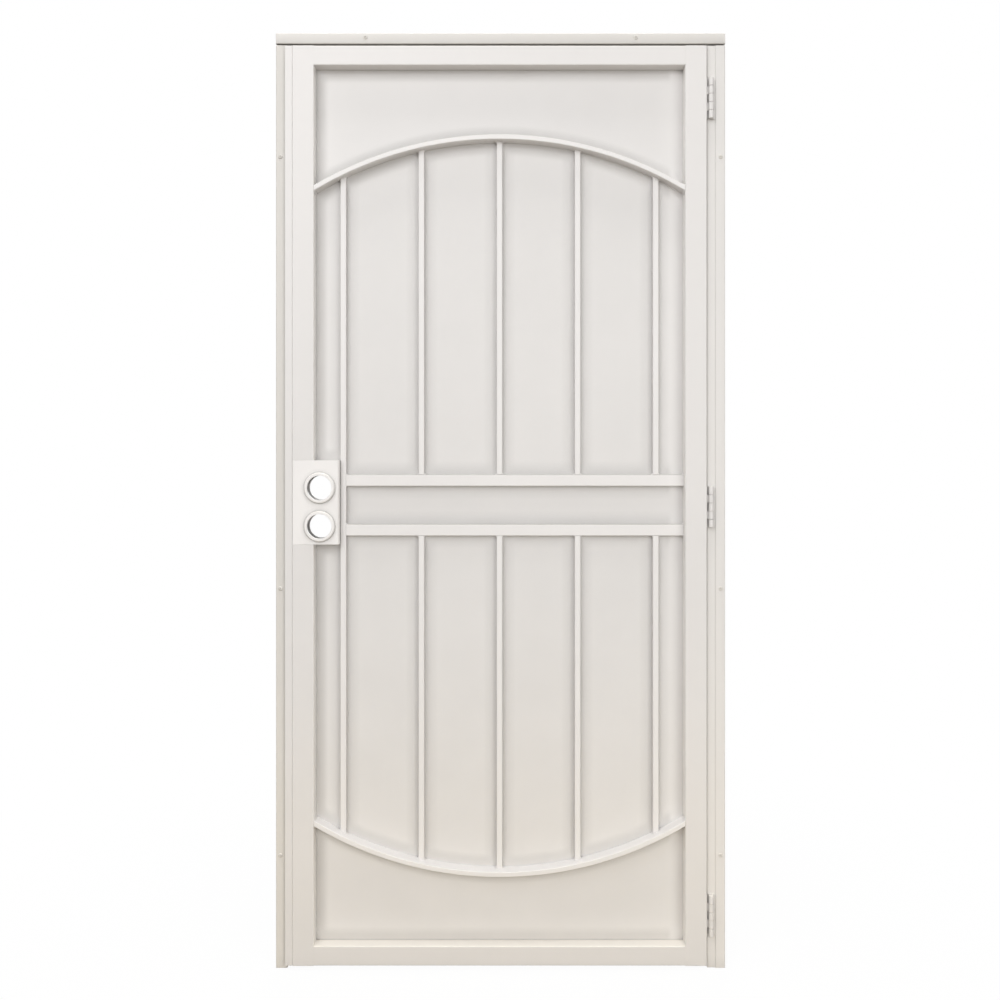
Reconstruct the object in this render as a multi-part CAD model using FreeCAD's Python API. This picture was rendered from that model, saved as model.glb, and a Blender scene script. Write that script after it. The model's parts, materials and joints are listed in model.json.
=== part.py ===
import FreeCAD, Part
import math
import os

# Steel security screen door: a surface-mounted jamb set and one outward-swinging leaf.
# Millimetres. X runs along the wall, +X to the hinge side; Y = 0 is the wall, the outside is -Y; Z is up.
# The hinge axis stands over X = 0, and Z = 0 is the foot of the jambs.

# Whole set
overall_w = 990.6          # outer edge to outer edge of the jambs
overall_h = 2061.0         # foot of the jambs to the top of the header
sheet_t = 1.5              # 16 gauge steel of the jambs and the leaf tubes
bend_r = 2.5               # outside bend radius of jambs and tubes
over = 1.0                 # cuts run this far past a face

# Clearances of the leaf
latch_gap = 5.0            # leaf edge to latch jamb
hinge_gap = 2.5            # leaf edge to hinge jamb
head_gap = 7.2             # leaf top to header
floor_gap = 9.0            # leaf bottom above the foot of the jambs
stop_gap = 5.0             # leaf back to the stop
guard_gap = 5.0            # latch guard to the latch jamb's face
open_gap = 5.5             # leaf face to the hinge jamb's face with the leaf folded right back
stop_lap = 12.0            # how far the stops reach behind the leaf

# Jamb set
jamb_w = 32.4              # outer edge of the latch jamb to its web beside the leaf
hinge_jamb_w = 39.5        # the same on the hinge jamb
jamb_face_w = 25.4         # front face of the latch jamb
hinge_face_w = 22.0        # front face of the hinge jamb
rabbet_depth = 14.0        # step of the latch jamb beside the leaf edge
jamb_head_gap = 3.5        # shadow line between a jamb's face and the header
jamb_tab = 8.0             # back part of a jamb that reaches up to the header
header_h = 23.8
screw_r = 3.25
screw_inset = 10.0         # from a jamb's or the header's outer edge
jamb_screw_foot = 248.0    # lowest screw above the foot of the jambs
jamb_screw_mid = 836.0
jamb_screw_head = 249.2    # highest screw below the top of the jambs
header_screw_end = 197.3   # from the ends of the header
header_stop_fit = 0.3      # header stop between the two jamb stops
strike_h = 32.0
strike_w = 9.0

# Leaf frame
tube_depth = 31.75
stile_w = 47.6
rail_h = 43.0
cap_fit = 0.1
cap_chamfer = 1.0

# Grille
bar_w = 12.7               # square bars
bar_chamfer = 1.0
mid_rail_h = 25.4
mid_rail_spacing = 110.0
arch_r = 795.0             # centre line of the arched bars
arch_t = 11.0
arch_chamfer = 1.2         # along the two front edges
arch_trim_deg = 2.0        # rolled past the stiles before the ends are cut off
arch_drop = 199.8          # crown of each arch from the leaf's top or bottom

# Lock box
lock_box_t = 2.0
lock_box_w = 101.75
lock_box_h = 185.0
lock_box_drop = 85.5       # its bottom below the leaf's mid-height
lock_box_round = 6.0
bore_r = 27.0
backset = 60.3             # bore centre from the leaf edge
bore_drop = 3.3            # middle of the two bores below the leaf's mid-height
bore_spacing = 84.4
ring_r = 34.0
ring_h = 5.0
ring_chamfer = 2.2
edge_bore_r = 11.1

# Latch guard strip
guard_w = 15.6
guard_t = 3.0
guard_set_back = 1.0

# Screen sheet on the back of the leaf
screen_t = 1.0
screen_lap = 10.0
screen_lock_lap = 3.0
clip_w = 20.0
clip_foot = 8.0
clip_hold = 8.0
clip_t = 1.5
clips_per_stile = 5
clips_per_rail = 3
clip_end = 120.0           # first and last clip from the corner of the opening

# Hinges
hinge_h = 89.0
hinge_foot = 109.0         # middle of the lowest hinge above the leaf's bottom
hinge_head = 115.0         # middle of the highest hinge below the leaf's top
axis_off = 9.5             # hinge axis beyond the leaf edge
barrel_r = 5.5
pin_r = 3.0
pin_fit = 0.06             # radial running clearance
knuckles = 5
knuckle_gap = 0.8
plate_t = 2.0
door_plate_w = 21.0
strap_t = 2.5              # arms from the plates to their knuckles

# Places that follow from the sizes above
leaf_w = overall_w - jamb_w - hinge_jamb_w - latch_gap - hinge_gap
jamb_h = overall_h - header_h
leaf_right = -axis_off
leaf_left = leaf_right - leaf_w
leaf_mid_x = (leaf_left + leaf_right) / 2
leaf_top = jamb_h - head_gap
leaf_bottom = floor_gap
leaf_mid_z = (leaf_top + leaf_bottom) / 2
open_left = leaf_left + stile_w
open_right = leaf_right - stile_w
open_top = leaf_top - rail_h
open_bottom = leaf_bottom + rail_h
leaf_back = sheet_t + stop_gap               # distances from the wall
leaf_front = leaf_back + tube_depth
leaf_mid_v = (leaf_back + leaf_front) / 2
jamb_front = leaf_front - guard_set_back - guard_t - guard_gap
rabbet_v = jamb_front - rabbet_depth
hinge_rabbet_v = jamb_front - plate_t
axis_v = (leaf_front + jamb_front + open_gap) / 2
hinge_web = leaf_right + hinge_gap
hinge_outer = hinge_web + hinge_jamb_w
latch_web = leaf_left - latch_gap
latch_outer = latch_web - jamb_w
hinge_step = hinge_outer - hinge_face_w
latch_step = latch_outer + jamb_face_w
hinge_stop = leaf_right - stop_lap
latch_stop = leaf_left + stop_lap
bar_front = leaf_back + bar_w
lock_box_left = leaf_left + sheet_t
lock_box_right = lock_box_left + lock_box_w
lock_box_bottom = leaf_mid_z - lock_box_drop
lock_box_top = lock_box_bottom + lock_box_h
lock_bar_x = lock_box_right + bar_w / 2
bar_pitch = (leaf_mid_x - lock_bar_x) / 2
bore_x = leaf_left + backset
bore_mid_z = leaf_mid_z - bore_drop
bore_z = (bore_mid_z - bore_spacing / 2, bore_mid_z + bore_spacing / 2)
upper_rail_z = leaf_mid_z + mid_rail_spacing / 2
lower_rail_z = leaf_mid_z - mid_rail_spacing / 2
upper_arch_centre = leaf_top - arch_drop - arch_r
lower_arch_centre = leaf_bottom + arch_drop + arch_r
screen_back = leaf_back - screen_t
jamb_screw_z = (jamb_screw_foot, jamb_screw_mid, jamb_h - jamb_screw_head)
header_screw_x = (latch_outer + header_screw_end, hinge_outer - header_screw_end)
bottom_hinge_z = leaf_bottom + hinge_foot
top_hinge_z = leaf_top - hinge_head
hinge_z = (bottom_hinge_z, (bottom_hinge_z + top_hinge_z) / 2, top_hinge_z)


def box(x0, x1, v0, v1, z0, z1):
    """Box between two X, two distances from the wall and two heights."""
    return Part.makeBox(x1 - x0, v1 - v0, z1 - z0, FreeCAD.Vector(x0, -v1, z0))


def rounded_face(points):
    """Planar face from (vector, radius) corners, each radius turned into an arc."""
    n = len(points)
    ends = []
    edges = []
    for i in range(n):
        p, r = points[i]
        a = points[i - 1][0] - p
        b = points[(i + 1) % n][0] - p
        a.normalize()
        b.normalize()
        if r > 0:
            inwards = a + b
            inwards.normalize()
            half = a.getAngle(b) / 2
            reach = r / math.tan(half)
            centre = p + inwards * (r / math.sin(half))
            ends.append((p + a * reach, centre - inwards * r, p + b * reach))
        else:
            ends.append((p, None, p))
    for i in range(n):
        start, middle, end = ends[i]
        if middle is not None:
            edges.append(Part.Arc(start, middle, end).toShape())
        edges.append(Part.makeLine(end, ends[(i + 1) % n][0]))
    return Part.Face(Part.Wire(edges))


def upright(points, z0, z1):
    """Prism along Z from (x, distance from wall, corner radius) points."""
    face = rounded_face([(FreeCAD.Vector(x, -v, z0), r) for x, v, r in points])
    return face.extrude(FreeCAD.Vector(0, 0, z1 - z0))


def level(points, x0, x1):
    """Prism along X from (distance from wall, z, corner radius) points."""
    face = rounded_face([(FreeCAD.Vector(x0, -v, z), r) for v, z, r in points])
    return face.extrude(FreeCAD.Vector(x1 - x0, 0, 0))


def rectangle(a0, a1, b0, b1, r):
    return [(a0, b0, r), (a1, b0, r), (a1, b1, r), (a0, b1, r)]


def octagon(a0, a1, b0, b1, c):
    """Rectangle with its four corners cut off by c."""
    return [(a0 + c, b0, 0), (a1 - c, b0, 0), (a1, b0 + c, 0), (a1, b1 - c, 0),
            (a1 - c, b1, 0), (a0 + c, b1, 0), (a0, b1 - c, 0), (a0, b0 + c, 0)]


def drill(x, z, r, v0, v1):
    """Cylinder along Y between two distances from the wall."""
    return Part.makeCylinder(r, v1 - v0, FreeCAD.Vector(x, -v1, z), FreeCAD.Vector(0, 1, 0))


def post(x, v, r, z0, z1):
    return Part.makeCylinder(r, z1 - z0, FreeCAD.Vector(x, -v, z0), FreeCAD.Vector(0, 0, 1))


def fuse(first, others):
    return first.multiFuse(others).removeSplitter()


def jamb(outer, step, web, stop, ledge_v, side):
    """Hollow roll-formed jamb with a ledge beside the leaf and a stop behind it; side is +1 at the hinges."""
    t = sheet_t
    shell = upright([
        (outer, 0, 0), (stop, 0, 0), (stop, t, 0), (web, t, 0), (web, ledge_v, 0),
        (step, ledge_v, 0), (step, jamb_front, bend_r), (outer, jamb_front, bend_r)], 0, jamb_h)
    hollow = upright([
        (outer - side * t, t, 0), (web + side * t, t, 0), (web + side * t, ledge_v - t, 0),
        (step + side * t, ledge_v - t, 0), (step + side * t, jamb_front - t, 0),
        (outer - side * t, jamb_front - t, 0)], 0, jamb_h)
    left, right = sorted((outer, web))
    head = box(left - over, right + over, jamb_tab, jamb_front + over, jamb_h - jamb_head_gap, jamb_h + over)
    screw_x = outer - side * screw_inset
    screws = [drill(screw_x, z, screw_r, -over, jamb_front + over) for z in jamb_screw_z]
    return shell.cut([hollow, head] + screws)


def hinge_jamb():
    return jamb(hinge_outer, hinge_step, hinge_web, hinge_stop, hinge_rabbet_v, 1)


def latch_jamb():
    strikes = []
    for z in bore_z:
        strikes.append(box(latch_step - sheet_t - over, latch_step + over, leaf_mid_v - strike_w / 2,
                           leaf_mid_v + strike_w / 2, z - strike_h / 2, z + strike_h / 2))
    return jamb(latch_outer, latch_step, latch_web, latch_stop, rabbet_v, -1).cut(strikes)


def header():
    t = sheet_t
    body = level([(0, jamb_h, 0), (0, overall_h, 0), (jamb_front, overall_h, bend_r),
                  (jamb_front, jamb_h, bend_r)], latch_outer, hinge_outer)
    hollow = box(latch_outer, hinge_outer, t, jamb_front - t, jamb_h + t, overall_h - t)
    stop = box(latch_stop + header_stop_fit, hinge_stop - header_stop_fit, 0, t,
               leaf_top - stop_lap, jamb_h + t)
    screw_z = overall_h - screw_inset
    holes = [drill(x, screw_z, screw_r, -over, jamb_front + over) for x in header_screw_x]
    return fuse(body.cut(hollow), [stop]).cut(holes)


def stile(x0, x1):
    t = sheet_t
    tube = upright(rectangle(x0, x1, leaf_back, leaf_front, bend_r), leaf_bottom, leaf_top)
    return tube.cut(box(x0 + t, x1 - t, leaf_back + t, leaf_front - t, leaf_bottom, leaf_top))


def hinge_stile():
    return stile(open_right, leaf_right)


def latch_stile():
    """Stile notched for the lock box; its outer wall runs on past the notch."""
    notch = box(lock_box_left, open_left + over, leaf_back - over, leaf_front + over,
                lock_box_bottom, lock_box_top)
    cuts = [notch]
    for z in bore_z:
        start = FreeCAD.Vector(leaf_left - over, -leaf_mid_v, z)
        cuts.append(Part.makeCylinder(edge_bore_r, sheet_t + 2 * over, start, FreeCAD.Vector(1, 0, 0)))
    return stile(leaf_left, open_left).cut(cuts)


def rail(z0, z1):
    t = sheet_t
    tube = level(rectangle(leaf_back, leaf_front, z0, z1, bend_r), open_left, open_right)
    return tube.cut(box(open_left, open_right, leaf_back + t, leaf_front - t, z0 + t, z1 - t))


def stile_end_caps():
    """Flush plates in the four open ends of the stiles."""
    t = sheet_t + cap_fit
    caps = []
    for x0, x1 in ((leaf_left, open_left), (open_right, leaf_right)):
        for z0 in (leaf_bottom, leaf_top - sheet_t):
            caps.append(upright(octagon(x0 + t, x1 - t, leaf_back + t, leaf_front - t, cap_chamfer),
                                z0, z0 + sheet_t))
    return Part.makeCompound(caps)


def mid_rail(z):
    return level(octagon(leaf_back, bar_front, z - mid_rail_h / 2, z + mid_rail_h / 2, bar_chamfer),
                 lock_bar_x + bar_w / 2, open_right)


def arch_disc(centre_z, r):
    return drill(leaf_mid_x, centre_z, r, leaf_back - over, leaf_front + over)


def arch(centre_z, up):
    """Flat bar on edge, rolled to an arc and cut off square at the stiles; up is +1 for the top arch."""
    c = arch_chamfer
    crown = centre_z + up * arch_r
    outside, inside = crown + up * arch_t / 2, crown - up * arch_t / 2
    section = rounded_face([(FreeCAD.Vector(leaf_mid_x, -v, z), 0) for v, z in (
        (leaf_back, inside), (leaf_back, outside), (leaf_front - c, outside),
        (leaf_front, outside - up * c), (leaf_front, inside + up * c), (leaf_front - c, inside))])
    centre = FreeCAD.Vector(leaf_mid_x, 0, centre_z)
    half_span = (open_right - open_left) / 2
    half_angle = math.degrees(math.asin(half_span / (arch_r - arch_t / 2))) + arch_trim_deg
    section.rotate(centre, FreeCAD.Vector(0, 1, 0), -half_angle)
    rolled = section.revolve(centre, FreeCAD.Vector(0, 1, 0), 2 * half_angle)
    low, high = sorted((centre_z, centre_z + up * 2 * arch_r))
    return rolled.common(box(open_left, open_right, leaf_back - over, leaf_front + over, low, high))


def bar(x, z0, z1):
    return upright(octagon(x - bar_w / 2, x + bar_w / 2, leaf_back, bar_front, bar_chamfer), z0, z1)


def upper_bar(x):
    """Bar from the upper mid rail, coped to the underside of the top arch."""
    length = bar(x, upper_rail_z + mid_rail_h / 2, leaf_top - arch_drop)
    return length.common(arch_disc(upper_arch_centre, arch_r - arch_t / 2))


def lower_bar(x):
    length = bar(x, leaf_bottom + arch_drop, lower_rail_z - mid_rail_h / 2)
    return length.common(arch_disc(lower_arch_centre, arch_r - arch_t / 2))


def lock_bar():
    """Bar beside the lock box, unbroken from arch to arch."""
    disc_r = arch_r - arch_t / 2
    upper = bar(lock_bar_x, leaf_mid_z, leaf_top - arch_drop).common(arch_disc(upper_arch_centre, disc_r))
    lower = bar(lock_bar_x, leaf_bottom + arch_drop, leaf_mid_z).common(arch_disc(lower_arch_centre, disc_r))
    return upper.fuse(lower).removeSplitter()


def collar(z):
    """Raised disc with a bevelled rim on the outside face of the lock box, before its bore is cut."""
    c = ring_chamfer
    face_v = leaf_front + ring_h
    section = rounded_face([(FreeCAD.Vector(bore_x + r, -v, z), 0) for r, v in (
        (0, leaf_front), (ring_r, leaf_front), (ring_r, face_v - c), (ring_r - c, face_v), (0, face_v))])
    return section.revolve(FreeCAD.Vector(bore_x, 0, z), FreeCAD.Vector(0, 1, 0), 360)


def lock_box():
    """Box let into the latch stile, open towards the stile's outer wall, with two collared cross bores."""
    t = lock_box_t
    right = lock_box_right
    shell = upright([
        (lock_box_left, leaf_back, 0), (right, leaf_back, 0), (right, leaf_front, lock_box_round),
        (lock_box_left, leaf_front, 0)], lock_box_bottom, lock_box_top)
    left = lock_box_left - over
    hollow = upright([
        (left, leaf_back + t, 0), (right - t, leaf_back + t, 0),
        (right - t, leaf_front - t, lock_box_round - t), (left, leaf_front - t, 0)],
        lock_box_bottom + t, lock_box_top - t)
    bores = [drill(bore_x, z, bore_r, leaf_back - over, leaf_front + ring_h + over) for z in bore_z]
    return fuse(shell, [collar(z) for z in bore_z]).cut([hollow] + bores)


def latch_guard():
    """Flat strip along the leaf's latch edge that covers the gap to the jamb."""
    v1 = leaf_front - guard_set_back
    return box(leaf_left - guard_w, leaf_left, v1 - guard_t, v1, leaf_bottom, leaf_top)


def screen():
    sheet = box(open_left - screen_lap, open_right + screen_lap, screen_back, leaf_back,
                open_bottom - screen_lap, open_top + screen_lap)
    notch = box(open_left - screen_lap - over, lock_box_right, screen_back - over, leaf_back + over,
                lock_box_bottom + screen_lock_lap, lock_box_top - screen_lock_lap)
    return sheet.cut(notch)


def spread(start, end, count):
    return [start + (end - start) * i / (count - 1) for i in range(count)]


def screen_clips():
    """Stepped clips round the edge of the screen; each has a foot on the tube and a tongue on the sheet."""
    half = clip_w / 2
    v0 = screen_back - clip_t
    clips = []
    for edge, out in ((open_left - screen_lap, -1), (open_right + screen_lap, 1)):
        for z in spread(open_bottom + clip_end, open_top - clip_end, clips_per_stile):
            if out < 0 and lock_box_bottom - clip_w < z < lock_box_top + clip_w:
                continue
            foot = sorted((edge, edge + out * clip_foot))
            tongue = sorted((edge - out * clip_hold, edge + out * clip_foot))
            clips.append(fuse(box(tongue[0], tongue[1], v0, screen_back, z - half, z + half),
                              [box(foot[0], foot[1], v0, leaf_back, z - half, z + half)]))
    for edge, out in ((open_bottom - screen_lap, -1), (open_top + screen_lap, 1)):
        for x in spread(open_left + clip_end, open_right - clip_end, clips_per_rail):
            foot = sorted((edge, edge + out * clip_foot))
            tongue = sorted((edge - out * clip_hold, edge + out * clip_foot))
            clips.append(fuse(box(x - half, x + half, v0, screen_back, tongue[0], tongue[1]),
                              [box(x - half, x + half, v0, leaf_back, foot[0], foot[1])]))
    return Part.makeCompound(clips)


def knuckle_spans(z):
    length = (hinge_h - (knuckles - 1) * knuckle_gap) / knuckles
    bottom = z - hinge_h / 2
    return [(bottom + i * (length + knuckle_gap), bottom + i * (length + knuckle_gap) + length)
            for i in range(knuckles)]


def hinge_jamb_leaf(z):
    """Plate on the jamb's ledge with the first, third and fifth knuckles, and the pin fast in them."""
    bottom = z - hinge_h / 2
    top = z + hinge_h / 2
    plate = box(-barrel_r, hinge_step, hinge_rabbet_v, jamb_front, bottom, top)
    pieces = [post(0, axis_v, pin_r, bottom, top)]
    for z0, z1 in knuckle_spans(z)[0::2]:
        pieces.append(box(barrel_r - strap_t, barrel_r, hinge_rabbet_v, axis_v, z0, z1))
        pieces.append(post(0, axis_v, barrel_r, z0, z1))
    return fuse(plate, pieces)


def hinge_door_leaf(z):
    """Plate on the leaf's edge with the second and fourth knuckles."""
    x1 = leaf_right + plate_t
    plate = box(leaf_right, x1, leaf_mid_v - door_plate_w / 2, leaf_mid_v + door_plate_w / 2,
                z - hinge_h / 2, z + hinge_h / 2)
    pieces = []
    for z0, z1 in knuckle_spans(z)[1::2]:
        pieces.append(box(leaf_right, 0, axis_v - barrel_r, axis_v - barrel_r + strap_t, z0, z1))
        pieces.append(box(leaf_right, x1, leaf_mid_v, axis_v - barrel_r + strap_t, z0, z1))
        pieces.append(post(0, axis_v, barrel_r, z0, z1))
    whole = fuse(plate, pieces)
    return whole.cut(post(0, axis_v, pin_r + pin_fit, z - hinge_h, z + hinge_h))


nodes = {
    "latch_jamb": latch_jamb(),
    "hinge_jamb": hinge_jamb(),
    "header": header(),
    "latch_stile": latch_stile(),
    "hinge_stile": hinge_stile(),
    "top_rail": rail(open_top, leaf_top),
    "bottom_rail": rail(leaf_bottom, open_bottom),
    "stile_end_caps": stile_end_caps(),
    "upper_mid_rail": mid_rail(upper_rail_z),
    "lower_mid_rail": mid_rail(lower_rail_z),
    "top_arch": arch(upper_arch_centre, 1),
    "bottom_arch": arch(lower_arch_centre, -1),
    "lock_bar": lock_bar(),
    "lock_box": lock_box(),
    "latch_guard": latch_guard(),
    "screen": screen(),
    "screen_clips": screen_clips(),
}
for i in range(4):
    x = leaf_mid_x + (i - 1) * bar_pitch
    nodes["upper_bar_%d" % (i + 1)] = upper_bar(x)
    nodes["lower_bar_%d" % (i + 1)] = lower_bar(x)
for name, z in zip(("bottom", "middle", "top"), hinge_z):
    nodes["%s_hinge_jamb_leaf" % name] = hinge_jamb_leaf(z)
    nodes["%s_hinge_door_leaf" % name] = hinge_door_leaf(z)

os.makedirs("parts", exist_ok=True)
for node, shape in nodes.items():
    shape.exportStep("parts/%s.step" % node)
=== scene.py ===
import json
import math
import bmesh
import bpy
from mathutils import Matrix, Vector


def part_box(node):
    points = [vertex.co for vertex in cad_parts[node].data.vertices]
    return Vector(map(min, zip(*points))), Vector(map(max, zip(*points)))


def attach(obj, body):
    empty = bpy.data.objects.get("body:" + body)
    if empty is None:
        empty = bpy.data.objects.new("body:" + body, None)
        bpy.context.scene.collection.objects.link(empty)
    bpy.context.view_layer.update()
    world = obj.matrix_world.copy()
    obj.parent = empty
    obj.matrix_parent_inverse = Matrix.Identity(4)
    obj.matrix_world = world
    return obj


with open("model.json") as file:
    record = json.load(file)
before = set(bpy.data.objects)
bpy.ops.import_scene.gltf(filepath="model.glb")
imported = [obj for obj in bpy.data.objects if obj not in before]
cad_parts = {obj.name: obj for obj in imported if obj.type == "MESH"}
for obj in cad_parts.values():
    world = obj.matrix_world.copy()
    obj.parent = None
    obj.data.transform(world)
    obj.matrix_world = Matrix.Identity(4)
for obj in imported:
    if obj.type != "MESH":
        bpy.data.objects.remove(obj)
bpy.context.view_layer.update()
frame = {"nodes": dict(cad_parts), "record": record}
nodes = frame["nodes"]

# Lengths are in metres.
MM = 0.001

# Paint colours, linear
ALMOND = (0.788, 0.770, 0.760)              # leaf frame, hinges and clips
JAMB_ALMOND = (0.752, 0.727, 0.690)         # latch jamb and wall screws
HINGE_JAMB_ALMOND = (0.790, 0.772, 0.754)
HEADER_ALMOND = (0.762, 0.742, 0.712)
GRILLE_ALMOND = (0.838, 0.821, 0.814)
SCREEN_ALMOND = (0.810, 0.794, 0.784)
LOCK_ALMOND = (0.898, 0.880, 0.870)
PAINTED_SIDE_LIGHT = (0.945, 0.925, 0.908)         # painted light: pale colour of the leaf frame's side faces
PAINTED_TOP_LIGHT = (0.942, 0.908, 0.855)            # painted light on faces that look up
THIN_PAINT_AND_SHEEN = (0.88, 0.85, 0.80)             # worn edges, paler also as a painted highlight
DARK_LEDGE = (0.44, 0.42, 0.39)                   # painted shade: darker ledges of the top arch and the mid rails, so they bounce less light onto the screen above
PAINTED_SHADE = (0.315, 0.303, 0.288)               # painted shade in corners, under ledges and in bands that fade with height
PAINTED_GAP_SHADE = (0.05, 0.045, 0.04)                 # painted shade in gaps between pieces and in hollows

# Noises of the powder coat: scale per metre, detail and roughness
DRIFT = (1.7, 3.0, 0.5)
CLOUD = (14.0, 4.0, 0.6)
WEAR = (90.0, 3.0, 0.7)
PEEL = (620.0, 2.0, 0.45)
SPECK = (2400.0, 1.0, 0.5)

# What the noises and the shape change; a band is the range of values over which a change takes place
TONE_BAND = (0.3, 0.7)
DRIFT_TONE = 0.014
CLOUD_TONE = 0.010
EDGE_RADIUS = 1.1 * MM
EDGE_BAND = (0.80, 0.995)                   # of the rounded normal along the true one
WEAR_BAND = (0.45, 0.75)
EDGE_WEAR_AND_SHEEN = 0.22                            # share of thin paint and painted highlight on a worn edge
TURN_BAND = (0.30, 0.85)                    # of the normal along an axis, for faces that look up or sideways
CORNER_CURVE = 0.75                         # below 1, painted shade spreads further out of a corner
DEEP_BAND = (0.45, 0.75)                    # of openness, from deep in a corner outwards
PATCH_BAND = (0.35, 0.65)
PATCH_LEAST = 0.80                          # painted shade left in the lighter patches
FACING_BAND = (-0.8, 0.8)                   # of the normal along Z
FACING_DOWN = 2.0                           # painted shade on faces that look down; those that look up have none
GAP_ABOVE = 0.4                             # share of a gap's dark left above gap_below
PEEL_SHARE = 0.85                           # orange peel in the bump; the rest is specks
PEEL_STRENGTH = 0.22
PEEL_HEIGHT = 0.25 * MM
ROUGH_BAND = (0.25, 0.75)
ROUGHNESS = (0.40, 0.50)
WORN_GLOSS = -0.06                          # added to the roughness of a worn edge
SPECULAR = 0.36

# Perforation of the screen
PITCH = 2.6 * MM
HOLE_R = 0.78 * MM
HOLE_BLUR = 0.15                            # soft rim, as a share of the radius
HOLE_TONE = 0.84                            # how dark a hole looks beside the paint
HOLE_DEPTH = 2.2                            # in the bump, beside a peel of 1

# Shapes that the boxes of the nodes don't tell
HEADER_FACE = 23.8 * MM                     # height of the header's front face
ARCH_INNER_R = 789.5 * MM
ARCH_DEPTH = 11.0 * MM                      # of the arched bars, along the radius
CLIP_SPAN = 30.0 * MM                       # longer than a clip, shorter than the way to the next

# Screw heads: radius, height, and how far each is turned on from the last
WALL_SCREW = (4.6 * MM, 2.2 * MM, 0.9)
CLIP_SCREW = (3.0 * MM, 1.5 * MM, 0.7)


class Graph:
    """Short hand for building one node tree, of a material or of the world."""

    def __init__(self, owner, output):
        owner.use_nodes = True
        self.tree = owner.node_tree
        self.tree.nodes.clear()
        self.surface = self.node(output).inputs["Surface"]

    def node(self, kind, **settings):
        made = self.tree.nodes.new(kind)
        for key, value in settings.items():
            setattr(made, key, value)
        return made

    def put(self, socket, value):
        """Link a socket, or set its value."""
        if isinstance(value, bpy.types.NodeSocket):
            self.tree.links.new(value, socket)
        else:
            socket.default_value = value

    def filled(self, kind, **values):
        """Node with its named inputs set; an underscore stands for a space."""
        made = self.node(kind)
        for key, value in values.items():
            self.put(made.inputs[key.replace("_", " ")], value)
        return made

    def math(self, operation, a, b=0.0):
        made = self.node("ShaderNodeMath", operation=operation)
        self.put(made.inputs[0], a)
        self.put(made.inputs[1], b)
        return made.outputs[0]

    def product(self, first, *others):
        for other in others:
            first = self.math("MULTIPLY", first, other)
        return first

    def vector(self, operation, a, b=(0, 0, 0)):
        made = self.node("ShaderNodeVectorMath", operation=operation)
        self.put(made.inputs[0], a)
        self.put(made.inputs[1], b)
        return made.outputs["Value" if operation in ("LENGTH", "DOT_PRODUCT") else "Vector"]

    def parts(self, vector):
        """X, Y and Z of a vector, by name."""
        made = self.node("ShaderNodeSeparateXYZ")
        self.put(made.inputs[0], vector)
        return made.outputs

    def spread(self, value, low, high, to_low, to_high, smooth=False):
        """Value mapped from low..high to to_low..to_high, and held at the ends."""
        made = self.node("ShaderNodeMapRange", clamp=True)
        if smooth:
            made.interpolation_type = "SMOOTHSTEP"
        for socket, v in zip(made.inputs, (value, low, high, to_low, to_high)):
            self.put(socket, v)
        return made.outputs[0]

    def noise(self, where, scale, detail, rough):
        made = self.filled("ShaderNodeTexNoise", Vector=where, Scale=scale, Detail=detail, Roughness=rough)
        return made.outputs["Fac"]

    def openness(self, distance):
        """1 in the open, less where other faces stand nearer than the distance."""
        made = self.node("ShaderNodeAmbientOcclusion", samples=6)
        made.inputs["Distance"].default_value = distance
        return made.outputs["AO"]

    def grey(self, value):
        made = self.node("ShaderNodeCombineColor")
        for socket in made.inputs[:3]:
            self.put(socket, value)
        return made.outputs[0]

    def mix(self, factor, a, b, blend="MIX"):
        """Two colours mixed; a Mix node has its colour sockets at 6 and 7, and the result at 2."""
        made = self.node("ShaderNodeMix", data_type="RGBA", blend_type=blend)
        self.put(made.inputs["Factor"], factor)
        self.put(made.inputs[6], a)
        self.put(made.inputs[7], b)
        return made.outputs[2]

    def mix_shaders(self, factor, a, b):
        made = self.node("ShaderNodeMixShader")
        for socket, value in zip(made.inputs, (factor, a, b)):
            self.put(socket, value)
        return made.outputs[0]

    def seen(self):
        """1 for rays that bring a surface to the eye, straight or mirrored, 0 for the others."""
        path = self.node("ShaderNodeLightPath").outputs
        mirrored = self.math("MAXIMUM", path["Is Glossy Ray"], path["Is Transmission Ray"])
        return self.math("MAXIMUM", path["Is Camera Ray"], mirrored)


def rgba(colour):
    return tuple(colour) + (1.0,)


def hex_dots(g, where):
    """1 inside the screen's staggered round holes, 0 on the metal between them."""
    row = PITCH * math.sqrt(3)
    flat = g.vector("MULTIPLY", where, (1, 0, 1))
    distances = []
    for shift in ((0, 0, 0), (PITCH / 2, 0, row / 2)):
        moved = g.vector("ADD", flat, shift)
        cell = g.vector("DIVIDE", moved, (PITCH, 1, row))
        middle = g.vector("SUBTRACT", g.vector("FRACTION", cell), (0.5, 0, 0.5))
        distances.append(g.vector("LENGTH", g.vector("MULTIPLY", middle, (PITCH, 0, row))))
    nearest = g.math("MINIMUM", *distances)
    return g.spread(nearest, HOLE_R * (1 - HOLE_BLUR), HOLE_R * (1 + HOLE_BLUR), 1.0, 0.0, smooth=True)


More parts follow.
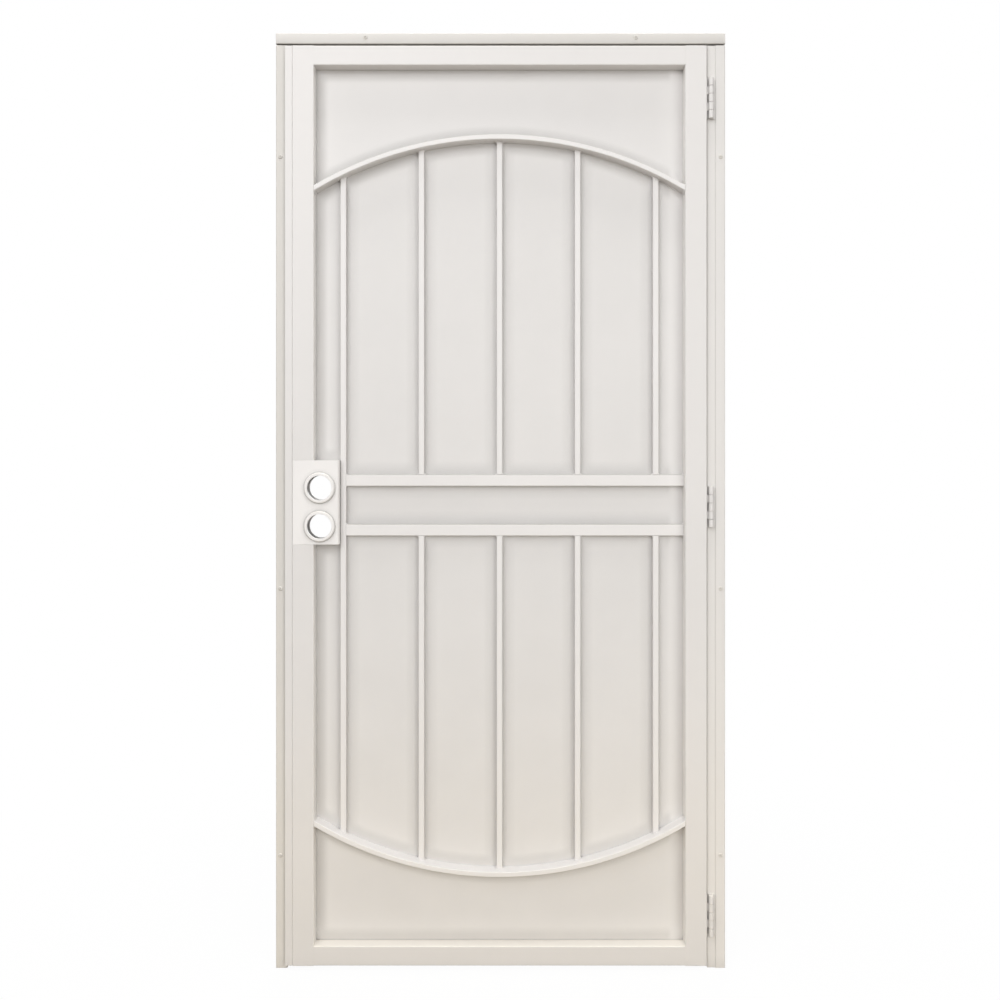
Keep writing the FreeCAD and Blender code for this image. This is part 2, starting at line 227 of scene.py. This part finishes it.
def powder_coat(name, colour, perforated=False, peel=1.0,
                reach=0.030, shade_share=0.17, shade_from=0.50, deep=1.0, shade_thinning=None,
                gap=0.45, gap_from=0.36, gap_full=0.04, gap_reach=None, gap_below=None,
                ledge=PAINTED_TOP_LIGHT, side_light=0.0, fade=None):
    """Satin powder coat: orange peel, slow drift of tone, thin paint with a painted highlight on edges,
    painted shade in corners and gaps, and painted light on faces that look up.

    reach and the next two: how far out of a corner painted shade lies, its share, and the openness where it
    is full
    deep: factor on the painted shade deep in a corner
    the argument after deep: (x where the painted shade starts to thin out, x where it stops, share left)
    gap, gap_from, gap_full: share of painted shade in narrow gaps, and the openness where it starts and is
    full
    gap_reach, gap_below: a reach of the gaps' own, and the height above which they are less dark
    ledge: colour of faces that look up; the default is a paler painted light
    the argument after ledge: share of the pale side colour, painted light, on faces that look sideways
    fade: (z where painted shade is full, z where it ends, share)
    """
    material = bpy.data.materials.new(name)
    g = Graph(material, "ShaderNodeOutputMaterial")
    where = g.node("ShaderNodeTexCoord").outputs["Object"]
    place = g.parts(where)
    true_normal = g.node("ShaderNodeNewGeometry").outputs["True Normal"]
    turn = g.parts(true_normal)
    drift = g.noise(where, *DRIFT)
    cloud = g.noise(where, *CLOUD)

    drift_tone = g.spread(drift, *TONE_BAND, -DRIFT_TONE, DRIFT_TONE)
    cloud_tone = g.spread(cloud, *TONE_BAND, -CLOUD_TONE, CLOUD_TONE)
    shade = g.math("ADD", 1.0, g.math("ADD", drift_tone, cloud_tone))
    base = g.mix(1.0, rgba(colour), g.grey(shade), "MULTIPLY")

    # Worn edges, paler also as a painted highlight
    bevel = g.node("ShaderNodeBevel", samples=4)
    bevel.inputs["Radius"].default_value = EDGE_RADIUS
    rounded = bevel.outputs["Normal"]
    flatness = g.vector("DOT_PRODUCT", rounded, true_normal)
    edge = g.spread(flatness, *EDGE_BAND, 1.0, 0.0, smooth=True)
    patches = g.spread(g.noise(where, *WEAR), *WEAR_BAND, 0.0, 1.0)
    worn_and_sheen = g.product(edge, patches)
    base = g.mix(g.product(worn_and_sheen, EDGE_WEAR_AND_SHEEN), base, rgba(THIN_PAINT_AND_SHEEN))

    # Painted light on faces that look sideways or up, or the ledge colour given in its place
    if side_light:
        sideways = g.math("ABSOLUTE", turn["X"])
        base = g.mix(g.spread(sideways, *TURN_BAND, 0.0, side_light), base, rgba(PAINTED_SIDE_LIGHT))
    base = g.mix(g.spread(turn["Z"], *TURN_BAND, 0.0, 1.0), base, rgba(ledge))

    # Painted shade in corners, more of it on faces that look down
    open_share = g.openness(reach)
    corner = g.product(
        g.math("POWER", g.spread(open_share, shade_from, 1.0, 1.0, 0.0), CORNER_CURVE),
        g.spread(open_share, *DEEP_BAND, shade_share * deep, shade_share),
        g.spread(cloud, *PATCH_BAND, PATCH_LEAST, 1.0),
        g.spread(turn["Z"], *FACING_BAND, FACING_DOWN, 0.0))
    # Painted shade thinned out across a band of X
    if shade_thinning:
        start, stop, left = shade_thinning
        corner = g.product(corner, g.spread(place["X"], start, stop, 1.0, left))
    base = g.mix(corner, base, rgba(PAINTED_SHADE))

    # Painted shade in narrow gaps and hollows
    gap_share = g.openness(gap_reach) if gap_reach else open_share
    gap_shade_mix = g.spread(gap_share, gap_full, gap_from, gap, 0.0)
    if gap_below:
        gap_shade_mix = g.product(gap_shade_mix, g.spread(place["Z"], gap_below, gap_below + MM, 1.0, GAP_ABOVE))
    base = g.mix(gap_shade_mix, base, rgba(PAINTED_GAP_SHADE))

    # Painted shade that grows or fades with height
    if fade:
        full, none, share = fade
        base = g.mix(g.spread(place["Z"], full, none, share, 0.0), base, rgba(PAINTED_SHADE))

    peel_height = g.noise(where, *PEEL)
    speck = g.noise(where, *SPECK)
    height = g.math("ADD", g.product(peel_height, PEEL_SHARE), g.product(speck, 1.0 - PEEL_SHARE))
    if perforated:
        holes = hex_dots(g, where)
        dim = g.mix(1.0, base, rgba((HOLE_TONE, HOLE_TONE, HOLE_TONE)), "MULTIPLY")
        base = g.mix(holes, base, dim)
        height = g.math("SUBTRACT", height, g.product(holes, HOLE_DEPTH))
    bump = g.filled("ShaderNodeBump", Strength=PEEL_STRENGTH * peel, Distance=PEEL_HEIGHT,
                    Height=height, Normal=rounded)

    rough = g.math("ADD", g.spread(cloud, *ROUGH_BAND, *ROUGHNESS), g.product(worn_and_sheen, WORN_GLOSS))
    shader = g.filled("ShaderNodeBsdfPrincipled", Base_Color=base, Roughness=rough,
                      Specular_IOR_Level=SPECULAR, Normal=bump.outputs["Normal"])
    g.put(g.surface, shader.outputs["BSDF"])
    return material


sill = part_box("bottom_rail")[1].z
hinge_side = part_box("hinge_stile")[0].x
header_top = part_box("header")[1].z
header_low = header_top - HEADER_FACE
FADE_END = 0.5                              # height where the fades of the stiles and jambs end

# In these coats the corner, gap and fade settings are painted shade, and faces that look up get painted
# light
PAINTS = {
    "jamb_paint": powder_coat("jamb_coat", JAMB_ALMOND),
    "frame_paint": powder_coat("frame_coat", ALMOND, shade_share=0.10, side_light=1.0, fade=(sill, FADE_END, 0.06)),
    "grille_paint": powder_coat("grille_coat", GRILLE_ALMOND, ledge=GRILLE_ALMOND),
    "lock_paint": powder_coat("lock_coat", LOCK_ALMOND, reach=0.010, shade_share=0.55, shade_from=0.55,
                              gap=0.95, gap_from=0.62, gap_full=0.25, gap_reach=0.05),
    "hinge_paint": powder_coat("hinge_coat", ALMOND, peel=0.7),
    "clip_paint": powder_coat("clip_coat", ALMOND, peel=0.7),
    "screen_paint": powder_coat("screen_coat", SCREEN_ALMOND, perforated=True, peel=0.6,
                                shade_share=0.40, shade_from=0.75, deep=0.5,
                                shade_thinning=(hinge_side - 0.034, hinge_side - 0.024, 0.15),
                                fade=(sill, sill + 0.016, 0.15)),
}

# Nodes whose paint differs from their slot's
# Painted shade: the top arch and the mid rails get darker ledges, which bounce less light onto the screen
# above
DARK_LEDGE_PAINT = powder_coat("dark_ledge_grille_coat", GRILLE_ALMOND, ledge=DARK_LEDGE)
NODE_PAINTS = {
    # The header gets painted shade towards its bottom and in the gap under it; the jambs get it towards
    # their tops
    "header": powder_coat("header_coat", HEADER_ALMOND, gap=0.97, gap_below=header_low + MM / 2,
                          fade=(header_low, header_top, 0.36)),
    "hinge_jamb": powder_coat("hinge_jamb_coat", HINGE_JAMB_ALMOND, fade=(header_top, FADE_END, 0.07)),
    "latch_jamb": powder_coat("latch_jamb_coat", JAMB_ALMOND, fade=(header_top, FADE_END, 0.17)),
    "top_arch": DARK_LEDGE_PAINT,
    "upper_mid_rail": DARK_LEDGE_PAINT,
    "lower_mid_rail": DARK_LEDGE_PAINT,
}

for row in frame["record"]["subparts"]:
    mesh = nodes[row["node"]].data
    mesh.materials.clear()
    mesh.materials.append(NODE_PAINTS.get(row["node"], PAINTS[row["material_slot"]]))


def new_object(name, bm):
    """Object in the scene with the mesh of a bmesh, which is freed."""
    mesh = bpy.data.meshes.new(name)
    bm.to_mesh(mesh)
    bm.free()
    made = bpy.data.objects.new(name, mesh)
    bpy.context.scene.collection.objects.link(made)
    return made


def piece(name, build, body, slot):
    """Mesh object made by build(bmesh), painted for its slot and riding on a body."""
    bm = bmesh.new()
    build(bm)
    bmesh.ops.recalc_face_normals(bm, faces=bm.faces)
    made = new_object(name, bm)
    made.data.materials.append(PAINTS[slot])
    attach(made, body)


def skin(bm, rings):
    """Closed tube through rings of vertices, with a face on either end."""
    count = len(rings[0])
    for ring, after in zip(rings, rings[1:]):
        for m in range(count):
            n = (m + 1) % count
            bm.faces.new((ring[m], ring[n], after[n], after[m]))
    bm.faces.new(rings[0])
    bm.faces.new(rings[-1])


def screw(bm, centre, out, r, h, turn):
    """Pan head with a cross recess; out is the direction that the head faces along Y."""
    n = 22
    slot_w = 0.16               # half width and half length of the recess, in radii
    slot_l = 0.58
    rim_h = 0.12                # height at the rim and depth of the recess, in heights of the head
    recess = 0.55
    cos_t = math.cos(turn)
    sin_t = math.sin(turn)
    grid = []
    for i in range(n + 1):
        line = []
        for j in range(n + 1):
            a = 2 * i / n - 1
            b = 2 * j / n - 1
            reach = max(abs(a), abs(b))
            length = math.hypot(a, b)
            x = a * reach / length if length else 0.0
            z = b * reach / length if length else 0.0
            lift = 0.0
            if reach < 1:
                lift = h * (rim_h + (1 - rim_h) * math.sqrt(1 - reach ** 4))
                if min(abs(a), abs(b)) < slot_w and reach < slot_l:
                    lift -= recess * h
            line.append(bm.verts.new((
                centre.x + r * (x * cos_t - z * sin_t),
                centre.y + out * lift,
                centre.z + r * (x * sin_t + z * cos_t))))
        grid.append(line)
    for i in range(n):
        for j in range(n):
            bm.faces.new((grid[i][j], grid[i + 1][j], grid[i + 1][j + 1], grid[i][j + 1]))
    rim = [grid[0][j] for j in range(n)] + [grid[i][n] for i in range(n)]
    rim += [grid[n][j] for j in range(n, 0, -1)] + [grid[i][0] for i in range(n, 0, -1)]
    bm.faces.new(rim)


def weld(bm, corner, along_a, along_b, y0, y1, leg, seed):
    """Rippled fillet weld in the corner between two surfaces, run along Y; seed shifts its ripples."""
    ring_gap = 1.1 * MM         # between the weld's cross sections
    ripple_rings = 2.6          # cross sections in one ripple
    buried = 0.4 * MM           # how far the weld's root lies inside the metal
    hollow = 0.24               # middle of the weld's face, between 0 for the root and 0.5 for flat
    ripple_size = 0.10          # ripples and slow sway, as shares of the leg
    sway_size = 0.05
    sway_rate = 7
    end_size = 0.35             # size at the ends, and how fast it grows from there
    end_rate = 6
    least_steps = 6
    arc = 6
    a = Vector((along_a[0], 0, along_a[1])).normalized()
    b = Vector((along_b[0], 0, along_b[1])).normalized()
    corner = Vector(corner)
    root = corner - buried * (a + b)
    steps = max(least_steps, round(abs(y1 - y0) / ring_gap))
    rings = []
    for k in range(steps + 1):
        t = k / steps
        ripple = 1 + ripple_size * math.sin(2 * math.pi * k / ripple_rings + seed)
        ripple += sway_size * math.sin(sway_rate * t + 2 * seed)
        ends = min(1.0, end_size + end_rate * min(t, 1 - t))
        size = leg * ripple * ends
        y = y0 + (y1 - y0) * t
        ring = [root]
        for m in range(arc + 1):
            s = m / arc
            middle = 2 * s * (1 - s) * hollow
            ring.append(corner + size * (((1 - s) ** 2 + middle) * a + (s ** 2 + middle) * b))
        rings.append([bm.verts.new((p.x, y, p.z)) for p in ring])
    skin(bm, rings)


def jamb_screws(bm):
    """Heads of the wall screws on the jambs and the header."""
    radius, height, turn_on = WALL_SCREW
    turn = 0.3
    for mount in frame["record"]["mounts"]:
        if mount["kind"] != "bolt_pattern":
            continue
        dims = mount["dims"]
        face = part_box("header")[0].y if mount["name"].startswith("header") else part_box("hinge_jamb")[0].y
        for sx in (-1, 1):
            for sz in ((-1, 1) if "spacing_y_mm" in dims else (0,)):
                x = mount["pos_m"][0] + sx * dims["spacing_x_mm"] * MM / 2
                z = mount["pos_m"][2] + sz * dims.get("spacing_y_mm", 0) * MM / 2
                screw(bm, Vector((x, face, z)), -1, radius, height, turn)
                turn += turn_on


def grille_welds(bm):
    """Fillet welds of the bars on the mid rails and arches, and of the rails' and arches' ends."""
    seed = 0.0
    # Steps of seed, which keep the ripples apart
    on_rail, in_arch, rail_end, arch_end = 1.7, 1.3, 2.1, 1.9
    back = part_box("upper_bar_1")[1].y
    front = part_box("upper_bar_1")[0].y + 0.6 * MM
    leg = 4.2 * MM
    rail_leg = 0.8 * leg
    low_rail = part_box("lower_mid_rail")
    high_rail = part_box("upper_mid_rail")
    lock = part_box("lock_bar")
    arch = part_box("top_arch")
    arch_front = arch[0].y + 1.5 * MM
    mid_x = (arch[0].x + arch[1].x) / 2
    half = (arch[1].x - arch[0].x) / 2
    arch_outer_r = ARCH_INNER_R + ARCH_DEPTH
    centres = ((arch[1].z - arch_outer_r, 1), (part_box("bottom_arch")[0].z + arch_outer_r, -1))
    bars = [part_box("upper_bar_%d" % (i + 1)) for i in range(4)]
    # Bars on the mid rails; the lower bars stand under the upper ones
    for low, high in bars:
        for side, x in ((-1, low.x), (1, high.x)):
            for z, up in ((high_rail[1].z, 1), (low_rail[0].z, -1)):
                weld(bm, (x, 0, z), (side, 0), (0, up), back, front, leg, seed)
                seed += on_rail
    # Bars in the arches
    for low, high in bars + [lock]:
        for side, x in ((-1, low.x), (1, high.x)):
            rise = math.sqrt(ARCH_INNER_R ** 2 - (x - mid_x) ** 2)
            slope = -(x - mid_x) / rise
            for centre, up in centres:
                weld(bm, (x, 0, centre + up * rise), (side, up * slope * side), (0, -up),
                     back, front, leg, seed)
                seed += in_arch
    # Mid rails, at both ends
    for rail in (low_rail, high_rail):
        for side, x in ((1, rail[0].x), (-1, rail[1].x)):
            for up, z in ((1, rail[1].z), (-1, rail[0].z)):
                weld(bm, (x, 0, z), (side, 0), (0, up), back, front, rail_leg, seed)
                seed += rail_end
    # Arches on the stiles
    for side, x in ((-1, arch[0].x), (1, arch[1].x)):
        for r, out in ((ARCH_INNER_R, -1), (arch_outer_r, 1)):
            rise = math.sqrt(r ** 2 - half ** 2)
            slope = half / rise
            for centre, up in centres:
                weld(bm, (x, 0, centre + up * rise), (-side, up * slope), (0, up * out),
                     back, arch_front, leg, seed)
                seed += arch_end


def flush_welds(bm):
    """Ground-off welds in the grooves between the ends of the rails and the stiles' rounded edges."""
    side_faces = ((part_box("latch_stile")[1].x, -1), (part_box("hinge_stile")[0].x, 1))
    inset = 0.05 * MM           # of the ground face behind the faces of the tubes
    depth = 2.6 * MM
    reach = 2.7 * MM            # over the stile's rounded edge
    touch = 0.02 * MM           # at the root, into the stile
    lap = 0.3 * MM              # into the rail
    short = 0.4 * MM            # left free at the ends
    steps = 12
    for rail in ("top_rail", "bottom_rail"):
        low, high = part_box(rail)
        z0 = low.z + short
        z1 = high.z - short
        for x, side in side_faces:
            for face, out in ((low.y, -1), (high.y, 1)):
                flat = face - out * inset
                root = face - out * depth
                points = ((x + side * reach, flat), (x + side * touch, root),
                          (x - side * lap, root), (x - side * lap, flat))
                levels = [z0 + (z1 - z0) * k / steps for k in range(steps + 1)]
                skin(bm, [[bm.verts.new((px, py, z)) for px, py in points] for z in levels])


def beside(low, high, sheet_low, sheet_high):
    """Middle of a clip along one axis, or of the part of it that stands past the sheet."""
    if low < sheet_low:
        return (low + sheet_low) / 2
    if high > sheet_high:
        return (high + sheet_high) / 2
    return (low + high) / 2


def clip_screws(bm):
    """Small heads that hold the screen clips to the tubes."""
    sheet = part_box("screen")
    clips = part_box("screen_clips")
    face = clips[1].y
    found = []                  # first vertex, low and high corner of each clip
    for v in nodes["screen_clips"].data.vertices:
        for clip in found:
            if (v.co - clip[0]).length < CLIP_SPAN:
                clip[1] = Vector(map(min, clip[1], v.co))
                clip[2] = Vector(map(max, clip[2], v.co))
                break
        else:
            found.append([v.co.copy(), v.co.copy(), v.co.copy()])
    radius, height, turn_on = CLIP_SCREW
    turn = 0.0
    for _, low, high in found:
        x = beside(low.x, high.x, sheet[0].x, sheet[1].x)
        z = beside(low.z, high.z, sheet[0].z, sheet[1].z)
        screw(bm, Vector((x, face, z)), 1, radius, height, turn)
        turn += turn_on


piece("wall_screws", jamb_screws, "jamb_set", "jamb_paint")
piece("grille_welds", grille_welds, "leaf", "grille_paint")
piece("clip_screws", clip_screws, "leaf", "clip_paint")
piece("flush_welds", flush_welds, "leaf", "frame_paint")

# Studio
WHITE = (1.0, 1.0, 1.0)
DOOR_X = -0.46                              # middle of the door
FLOOR_SIZE = 12.0
FLOOR_LIT = (0.95, 0.95, 0.95)              # takes the shadow
FLOOR_BOUNCE = (0.32, 0.285, 0.238)         # lights the door from below
FLOOR_MIDDLE = (-0.4628, 0.0, 0.0)
FLOOR_GLOW = (0.5, 1.8, 0.955, 1.0)         # share of plain white, from near the door to far from it
WORLD_FILL = (1.0, 0.99, 0.97)
WORLD_STRENGTH = 0.24

# Name, place, target, width and height, watts, colour
LAMPS = (
    ("front", (-0.3, -7.0, 2.8), (DOOR_X, 0.0, 1.0), (12.0, 4.0), 298, (0.950, 0.960, 0.978)),
    ("sky", (-1.9, -2.6, 3.2), (DOOR_X, 0.0, 1.4), (1.8, 1.8), 33, (0.950, 0.945, 0.945)),
    ("top", (-0.5, -1.2, 8.0), (DOOR_X, -0.1, 0.8), (3.0, 1.6), 170, (1.0, 0.985, 0.955)),
    ("low", (1.5, -2.9, 0.6), (-0.3, 0.0, 0.6), (1.6, 1.2), 17, (1.0, 0.985, 0.93)),
    ("back", (DOOR_X, 6.0, 3.0), (DOOR_X, 0.0, 1.0), (6.0, 3.0), 260, (0.96, 0.97, 1.0)),
    ("lowfront", (DOOR_X, -0.6, 0.17), (DOOR_X, 0.0, 0.10), (2.4, 0.12), 0.76, (1.0, 0.68, 0.12)),
)

CAMERA_PLACE = (-0.4640, -2.23825, 1.135)
SENSOR_WIDTH = 36.0
LENS = 36.075
SHIFT_Y = -0.047


def white_ground():
    """White floor that shows white to the eye, with a faint shadow, and bounces a warm light."""
    bm = bmesh.new()
    bmesh.ops.create_grid(bm, x_segments=8, y_segments=8, size=FLOOR_SIZE)
    floor = new_object("floor", bm)
    material = bpy.data.materials.new("floor_white")
    g = Graph(material, "ShaderNodeOutputMaterial")
    bounce = g.filled("ShaderNodeBsdfDiffuse", Color=rgba(FLOOR_BOUNCE))
    lit = g.filled("ShaderNodeBsdfDiffuse", Color=rgba(FLOOR_LIT))
    glow = g.filled("ShaderNodeEmission", Color=rgba(WHITE), Strength=1.0)
    where = g.node("ShaderNodeTexCoord").outputs["Object"]
    away = g.vector("LENGTH", g.vector("SUBTRACT", where, FLOOR_MIDDLE))
    white = g.mix_shaders(g.spread(away, *FLOOR_GLOW, smooth=True), lit.outputs[0], glow.outputs[0])
    g.put(g.surface, g.mix_shaders(g.seen(), bounce.outputs[0], white))
    floor.data.materials.append(material)


def white_world():
    """World that shows white to the eye and gives a dimmer, even light."""
    world = bpy.data.worlds.new("studio")
    bpy.context.scene.world = world
    g = Graph(world, "ShaderNodeOutputWorld")
    dim = g.filled("ShaderNodeBackground", Color=rgba(WORLD_FILL), Strength=WORLD_STRENGTH)
    white = g.filled("ShaderNodeBackground", Color=rgba(WHITE), Strength=1.0)
    g.put(g.surface, g.mix_shaders(g.seen(), dim.outputs[0], white.outputs[0]))


def area_light(name, place, target, size, watts, colour):
    data = bpy.data.lights.new(name, "AREA")
    data.shape = "RECTANGLE"
    data.size, data.size_y = size
    data.energy = watts
    data.color = colour
    lamp = bpy.data.objects.new(name, data)
    bpy.context.scene.collection.objects.link(lamp)
    lamp.location = place
    lamp.rotation_euler = (Vector(target) - Vector(place)).to_track_quat("-Z", "Y").to_euler()


white_ground()
white_world()
for lamp in LAMPS:
    area_light(*lamp)

camera_data = bpy.data.cameras.new("camera")
camera_data.sensor_width = SENSOR_WIDTH
camera_data.lens = LENS
camera_data.shift_y = SHIFT_Y
camera = bpy.data.objects.new("camera", camera_data)
bpy.context.scene.collection.objects.link(camera)
camera.location = CAMERA_PLACE
camera.rotation_euler = (math.pi / 2, 0, 0)
bpy.context.scene.camera = camera
bpy.context.scene.view_settings.view_transform = "Standard"
